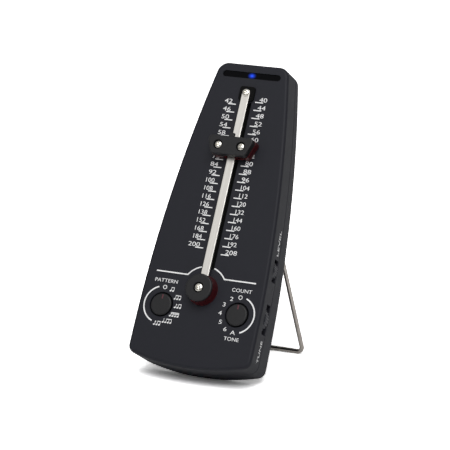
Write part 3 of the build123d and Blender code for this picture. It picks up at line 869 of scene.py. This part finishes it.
@dataclass
class ScrewHeads:
    """Domed screws with cross recesses, in place of plain ones. Sizes in millimetres, angles in degrees."""

    name: str
    node: str
    body: str
    places: Sequence[Place]
    radius: float
    slot: str = "nickel_screw"
    rearward: bool = False
    height: float = 1.0
    rim_share: float = 0.35
    shank_radius: float = 1.2
    shank_length: float = 3.0
    recess_length: float = 2.2
    recess_width: float = 0.5
    recess_depth: float = 0.7
    sharp_angle: float = 35.0
    turns: Sequence[float] = (20.0, 65.0, 40.0, 5.0)

    def build(self, face: FaceFrame, metal: Material) -> None:
        """Make the heads and put them on their seats.

        Args:
            face: The face's frame.
            metal: Their finish.
        """
        shape, cutter = bmesh.new(), bmesh.new()
        facing = Matrix.Rotation(math.pi if self.rearward else 0.0, 4, "X")
        top = Matrix.Translation((0, 0, self.height))
        size = Matrix.Diagonal((self.recess_length, self.recess_width, 2 * self.recess_depth, 1))
        for place, turn in zip(self.places, self.turns):
            seat = Matrix.Translation(place) @ facing @ Matrix.Rotation(math.radians(turn), 4, "Z")
            self.turned(shape, seat)
            for quarter in (0, 90):
                blade = top @ Matrix.Rotation(math.radians(quarter), 4, "Z")
                bmesh.ops.create_cube(cutter, matrix=seat @ blade @ size)
        head = self.mesh_object(shape, self.name, face)
        blades = self.mesh_object(cutter, "recess", face)
        cut = head.modifiers.new("recess", "BOOLEAN")
        cut.object = blades
        cut.operation = "DIFFERENCE"
        cut.use_self = True
        bpy.context.view_layer.update()
        made = bpy.data.meshes.new_from_object(head.evaluated_get(bpy.context.evaluated_depsgraph_get()))
        head.modifiers.clear()
        head.data = made
        bpy.data.objects.remove(blades)
        made.shade_smooth()
        made.set_sharp_from_angle(angle=math.radians(self.sharp_angle))
        made.materials.clear()
        made.materials.append(metal)
        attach(head, self.body)
        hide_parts(self.node)
        LOG.info("%s: %d faces in place of %s", self.name, len(made.polygons), self.node)

    def turned(self, shape: BMesh, seat: Matrix, sides: int = 40, rings: int = 8) -> None:
        """Add one screw, turned round its axis from a domed profile.

        Args:
            shape: The shape that gets it.
            seat: Where it sits and looks to.
            sides: How many sides it has.
            rings: How many rings its dome has.
        """
        rim = self.height * self.rim_share
        dome = self.height - rim
        profile = [(self.shank_radius, -self.shank_length), (self.shank_radius, 0.0), (self.radius, 0.0)]
        for i in range(rings):
            t = math.pi / 2 * i / rings
            profile.append((self.radius * math.cos(t), rim + dome * math.sin(t)))
        turns = [2 * math.pi * i / sides for i in range(sides)]
        loops = []
        for r, z in profile:
            ring = [seat @ Vector((r * math.cos(t), r * math.sin(t), z)) for t in turns]
            loops.append([shape.verts.new(corner) for corner in ring])
        for low, high in zip(loops, loops[1:]):
            for i in range(sides):
                shape.faces.new((low[i - 1], low[i], high[i], high[i - 1]))
        shape.faces.new(loops[0][::-1])
        crown = shape.verts.new(seat @ Vector((0, 0, self.height)))
        for i in range(sides):
            shape.faces.new((loops[-1][i - 1], loops[-1][i], crown))

    def mesh_object(self, shape: BMesh, name: str, face: FaceFrame) -> Object:
        """Turn a shape in the face's millimetres into an object in metres.

        Args:
            shape: The shape, which is freed.
            name: The object's name.
            face: The face's frame.

        Returns:
            The new object.
        """
        mesh = bpy.data.meshes.new(name)
        bmesh.ops.recalc_face_normals(shape, faces=shape.faces)
        shape.to_mesh(mesh)
        shape.free()
        mesh.transform(face.matrix())
        return add_object(name, mesh)


@dataclass
class DialPointer:
    """Red paint in the groove of a dial. Sizes in millimetres."""

    name: str
    body: str
    x: float
    inner: float = 2.85
    outer: float = 5.15
    width: float = 0.88
    level: float = 0.24

    def build(self, face: FaceFrame, paint: Material) -> None:
        """Fill the groove.

        Args:
            face: The face's frame.
            paint: The paint.
        """
        sheet = InkSheet()
        sheet.band([(0, self.inner), (0, self.outer)], self.width)
        made = sheet.piece(self.name, face.matrix(self.x, face.dial_height, self.level), paint, self.body)


def direction(azimuth: float, elevation: float) -> Vector:
    """Direction from the object to a place round it: azimuth 0 is the front, 90 its right side."""
    a, e = math.radians(azimuth), math.radians(elevation)
    return Vector((math.sin(a) * math.cos(e), -math.cos(a) * math.cos(e), math.sin(e)))


@dataclass
class Softbox:
    """A square lamp that looks at the object. Angles in degrees, distances in metres, power in watts."""

    name: str
    azimuth: float
    elevation: float
    distance: float
    size: float
    power: float

    def build(self, aim: Vector) -> None:
        """Hang the lamp.

        Args:
            aim: The place that it looks at.
        """
        lamp = bpy.data.lights.new(self.name, "AREA")
        lamp.shape = "SQUARE"
        lamp.size = self.size
        lamp.energy = self.power
        made = add_object(self.name, lamp)
        away = direction(self.azimuth, self.elevation)
        made.location = aim + away * self.distance
        made.rotation_euler = away.to_track_quat("Z", "Y").to_euler()


@dataclass
class Studio:
    """White floor, soft lamps and the camera. Distances in metres unless the name says millimetres."""

    azimuth: float = 24.94
    elevation: float = 16.02
    distance: float = 1.2552
    lens_mm: float = 200.0
    sensor_mm: float = 36.0
    aim_height_mm: float = 138.7
    aim_right_mm: float = -10.5
    aim_up_mm: float = -62.08
    floor_size: float = 12.0
    floor_drop: float = 0.0002
    floor_gain: float = 2.55
    paper_lighting: str = "#f2f2f2"
    paper_mirrored: str = "#ffffff"
    sky_colour: str = "#ffffff"
    sky_bright: float = 0.5
    sky_dark: float = 0.1
    softboxes: tuple[Softbox, ...] = (
        Softbox("key_softbox", azimuth=-30.0, elevation=38.0, distance=1.3, size=0.9, power=1.1),
        Softbox("top_softbox", azimuth=25.0, elevation=55.0, distance=1.4, size=1.0, power=14.0),
        Softbox("rear_softbox", azimuth=150.0, elevation=12.0, distance=1.4, size=0.8, power=1.8),
    )

    def build(self, face: FaceFrame) -> None:
        """Set up everything round the object.

        Args:
            face: The face's frame.
        """
        away = direction(self.azimuth, self.elevation)
        right = Vector((0, 0, 1)).cross(away).normalized()
        up = away.cross(right)
        aim = face.point(0, self.aim_height_mm) + (right * self.aim_right_mm + up * self.aim_up_mm) * MM
        self.camera(aim, away)
        self.floor()
        self.world()
        for box in self.softboxes:
            box.build(aim)

    def camera(self, aim: Vector, away: Vector) -> None:
        """Stand the camera where the picture was taken from.

        Args:
            aim: The place that it looks at.
            away: Direction from there to the camera.
        """
        lens = bpy.data.cameras.new("camera")
        lens.lens = self.lens_mm
        lens.sensor_width = self.sensor_mm
        made = add_object("camera", lens)
        made.location = aim + away * self.distance
        made.rotation_euler = away.to_track_quat("Z", "Y").to_euler()
        bpy.context.scene.camera = made

    def floor(self) -> None:
        """Lay a white floor that keeps the object's shadow."""
        mesh = bpy.data.meshes.new("floor")
        half, low = self.floor_size / 2, -self.floor_drop
        corners = [(-half, -half, low), (half, -half, low), (half, half, low), (-half, half, low)]
        mesh.from_pydata(corners, [], [(0, 1, 2, 3)])
        floor = add_object("floor", mesh)
        mesh.materials.append(self.paper())

    def paper(self) -> Material:
        """White paper, brighter where it is seen than where it only lights the object.

        Returns:
            The material.
        """
        paper = bpy.data.materials.new("white_paper")
        paper.use_nodes = True
        tree = paper.node_tree
        path = add_node(tree, "ShaderNodeLightPath").outputs
        rays = {0: path["Is Glossy Ray"], 1: path["Is Transmission Ray"]}
        mirrored = add_node(tree, "ShaderNodeMath", rays, operation="MAXIMUM").outputs[0]
        ends = {FIRST: linear(self.paper_lighting), SECOND: linear(self.paper_mirrored)}
        unseen = add_node(tree, "ShaderNodeMix", {FACTOR: mirrored, **ends}, data_type="RGBA")
        shown = (self.floor_gain, self.floor_gain, self.floor_gain, 1.0)
        ends = {FIRST: unseen.outputs[MIXED], SECOND: shown}
        colour = add_node(tree, "ShaderNodeMix", {FACTOR: path["Is Camera Ray"], **ends}, data_type="RGBA")
        matte = add_node(tree, "ShaderNodeBsdfDiffuse", {"Color": colour.outputs[MIXED]})
        tree.links.new(matte.outputs[0], tree.nodes["Material Output"].inputs["Surface"])
        return paper

    def world(self) -> None:
        """Give a soft light from all round, brightest from above."""
        world = bpy.data.worlds.new("studio")
        world.use_nodes = True
        tree = world.node_tree
        place = add_node(tree, "ShaderNodeTexCoord").outputs["Generated"]
        height = add_node(tree, "ShaderNodeSeparateXYZ", {0: place}).outputs["Z"]
        limits = {"To Min": self.sky_dark, "To Max": self.sky_bright}
        level = add_node(tree, "ShaderNodeMapRange", {"Value": height, **limits})
        background = tree.nodes["Background"]
        background.inputs["Color"].default_value = linear(self.sky_colour)
        tree.links.new(level.outputs["Result"], background.inputs["Strength"])
        bpy.context.scene.world = world
        bpy.context.scene.view_settings.view_transform = "Standard"


@dataclass
class Metronome:
    """The whole object: every finish, and what is printed or fitted over the carried-over pieces.

    Attributes:
        face: The face's frame.
        weight_screws: Seats of the weight's screws: x, height and level, in millimetres.
        hub_screw: Seat of the hub's screw.
        bar_screw: Seat of the screw in the bar's top end.
        rear_screws: Seats of the screws in the back.
        lamp_height: Height of the lit lamp up the face, in millimetres.
    """

    face: FaceFrame
    weight_screws: Sequence[Place] = ((-6.2, 112.9, 7.0), (6.2, 112.9, 7.0))
    hub_screw: Sequence[Place] = ((0.0, 39.8, 5.5),)
    bar_screw: Sequence[Place] = ((0.0, 142.5, 2.35),)
    rear_screws: Sequence[Place] = (
        (-27.35, 10.0, -14.9), (27.35, 10.0, -14.9), (-16.252, 140.2, -14.9), (16.252, 140.2, -14.9),
    )
    lamp_height: float = 152.4

    def build(self) -> None:
        """Dress every piece and add the printed ones."""
        self.plastics()
        self.metals()
        self.lamps()
        # Enamel through a screen: flat white, a shade greyer where it lies thin.
        ink = ScreenInk("white_screen_ink", "#e8e8e8", 0.55, "#b9bbbf").build()
        for printed in (TempoScale(), PanelPrint(), SidePrint()):
            printed.build(self.face, ink)
        # Enamel run into a groove: a dull dark red line.
        paint = ScreenInk("red_groove_paint", "#552530", 0.5, "#421c25").build()
        DialPointer("rhythm_pointer", "rhythm_dial", -self.face.dial_offset).build(self.face, paint)
        DialPointer("beats_pointer", "beats_dial", self.face.dial_offset).build(self.face, paint)

    def dress(self, material: Material, *nodes: str) -> None:
        """Give carried-over pieces a finish.

        Args:
            material: The finish.
            nodes: Names of the pieces.
        """
        for name in nodes:
            for slot in self.face.frame["nodes"][name].material_slots:
                slot.material = material
            LOG.info("%s: %s", name, material.name)

    def plastics(self) -> None:
        """Dress the moulded pieces, and add the thin black ones."""
        # ABS from a coarse mould scatters the light: an even dark satin that mirrors nothing.
        case = MouldedPlastic(
            "satin_charcoal_abs", "#15161e", 0.58, "#181921", relief_mm=0.035, grain_mm=0.6, specular=0.28
        ).build()
        self.dress(case, "front_shell", "rear_shell", "battery_door")
        # ABS from a finer mould: a tighter sheen than the case has.
        black = MouldedPlastic("satin_black_abs", "#141416", 0.45, "#171719", specular=0.35).build()
        self.dress(black, "hub_cap", "slider_cap", "slider_carriage", "rhythm_knob", "beats_knob")
        self.dress(black, "volume_pot", "accent_pot", "speaker_ring")
        # Moulded nylon: a shade paler and waxier than the wall that it turns in.
        wheel = MouldedPlastic("satin_charcoal_nylon", "#24252c", 0.5, "#2a2b33", specular=0.4).build()
        self.dress(wheel, "volume_wheel", "accent_wheel")
        # ABS from a polished mould: small clear glints on a deep red.
        red = MouldedPlastic("deep_red_abs", "#3c070c", 0.3, "#33060a", relief_mm=0.004).build()
        self.dress(red, "hub_base", "slider_base")
        # Cured lacquer on the board: black mask, darkened further as painted shade so that the slots read
        # nearly black.
        mask = MouldedPlastic("black_mask_and_slot_shade", "#060908", 0.5, "#080c0a", grain_mm=0.6, specular=0.15)
        self.dress(mask.build(), "main_board")
        # Flat black for thin pieces laid on the case and the weight: painted shade as a dark ring round each
        # bright screw, and a darker top on the bar's rest.
        black_sheet = MouldedPlastic("flat_black_matte", "#050505", 0.7, "#080808", specular=0.1).build()
        # A thin black sheet makes the bar's rest darker than the case round it.
        BarRest().build(self.face, black_sheet)
        # Painted shade: thin black rings stand for the shadow round the screws of the weight and the hub.
        ScrewWashers("weight_screw_shade_rings", "weight", self.weight_screws).build(self.face, black_sheet)
        ScrewWashers("hub_screw_shade_ring", "case", self.hub_screw, radius=2.4).build(self.face, black_sheet)

    def metals(self) -> None:
        """Dress the metal pieces, and put recessed screws in place of the plain ones that show."""
        along, out = tuple(self.face.up), tuple(self.face.out)
        # Plate over brushing: pale, with streaks that break up what it mirrors.
        bar = BrushedNickel("brushed_nickel_bar", "#f4f1ec", 0.32, "#cfcbc3", along=along, out=out).build()
        self.dress(bar, "pendulum_rod")
        # Drawn and plated: one narrow bright line, dulled by handling.
        wire = CoatedMetal("nickel_plated_wire", "#b4aea8", 0.14, "#8f8a85").build()
        self.dress(wire, "wire_stand")
        # Barrel plated: small bright domes.
        nickel = CoatedMetal("nickel_plated_screw", "#f1eee6", 0.22, "#d8d4ca", mark_mm=1.0).build()
        self.dress(nickel, "rod_top_screw", "hub_screw", "slider_screws")
        # Zinc plate: greyer and duller than nickel.
        zinc = CoatedMetal("zinc_plated_steel", "#a0a2a5", 0.35, "#7d7f82").build()
        self.dress(zinc, "case_screws", "board_screws", "wheel_rivets")
        # Rolled spring metal: a warm soft shine.
        bronze = CoatedMetal("phosphor_bronze", "#c79a5b", 0.3, "#a57e48").build()
        self.dress(bronze, "slider_wiper", "rhythm_wiper", "beats_wiper", "battery_contacts")
        # Painted frame and pressed cone: dull black behind the grille.
        cone = CoatedMetal("black_speaker_cone", "#202124", 0.6, "#17181a", metallic=0.0).build()
        self.dress(cone, "speaker")
        # Shrunk film over steel: dark satin with a little metal in it.
        jacket = CoatedMetal("plain_cell_jacket", "#3a3c40", 0.35, "#303236", metallic=0.3).build()
        self.dress(jacket, "battery_cell_1", "battery_cell_2", "battery_cell_3")
        self.screws(nickel, zinc)

    def screws(self, nickel: Material, zinc: Material) -> None:
        """Fit the screws with cross recesses.

        Args:
            nickel: Finish of the screws in front.
            zinc: Finish of the screws in the back.
        """
        for heads in (
            ScrewHeads("bar_screw_head", "rod_top_screw", "case", self.bar_screw, radius=1.9),
            ScrewHeads("hub_screw_head", "hub_screw", "case", self.hub_screw, radius=2.1),
            ScrewHeads("weight_screw_heads", "slider_screws", "weight", self.weight_screws, radius=1.9),
        ):
            heads.build(self.face, nickel)
        ScrewHeads(
            "case_screw_heads", "case_screws", "case", self.rear_screws, radius=2.3, slot="steel",
            rearward=True, height=1.6, shank_length=12.6, recess_length=2.8, recess_width=0.6,
        ).build(self.face, zinc)

    def lamps(self) -> None:
        """Dress the lamp strip."""
        spot, out = tuple(self.face.point(0, self.lamp_height)), tuple(self.face.out)
        # Polished and tinted: nearly black, with a painted soft blue glow over the lit lamp.
        window = SmokedAcrylic("smoked_acrylic", "#08080a", 0.12, spot=spot, out=out).build()
        self.dress(window, "led_window")
        # Cast epoxy, lit from inside.
        lit = LampLens("lit_blue_lamp", "#2a4cff", 0.2, glow="#1f3dff", strength=14.0).build()
        self.dress(lit, "led_centre")
        # The same epoxy, dark over a lamp that is off.
        unlit = LampLens("unlit_lamp", "#23262b", 0.2).build()
        self.dress(unlit, "led_row")


def main() -> None:
    """Load the frame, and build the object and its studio."""
    logging.basicConfig(level=logging.INFO, format="%(message)s")
    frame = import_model()
    face = FaceFrame(frame)
    Metronome(face).build()
    Studio().build(face)


if __name__ == "__main__":
    main()
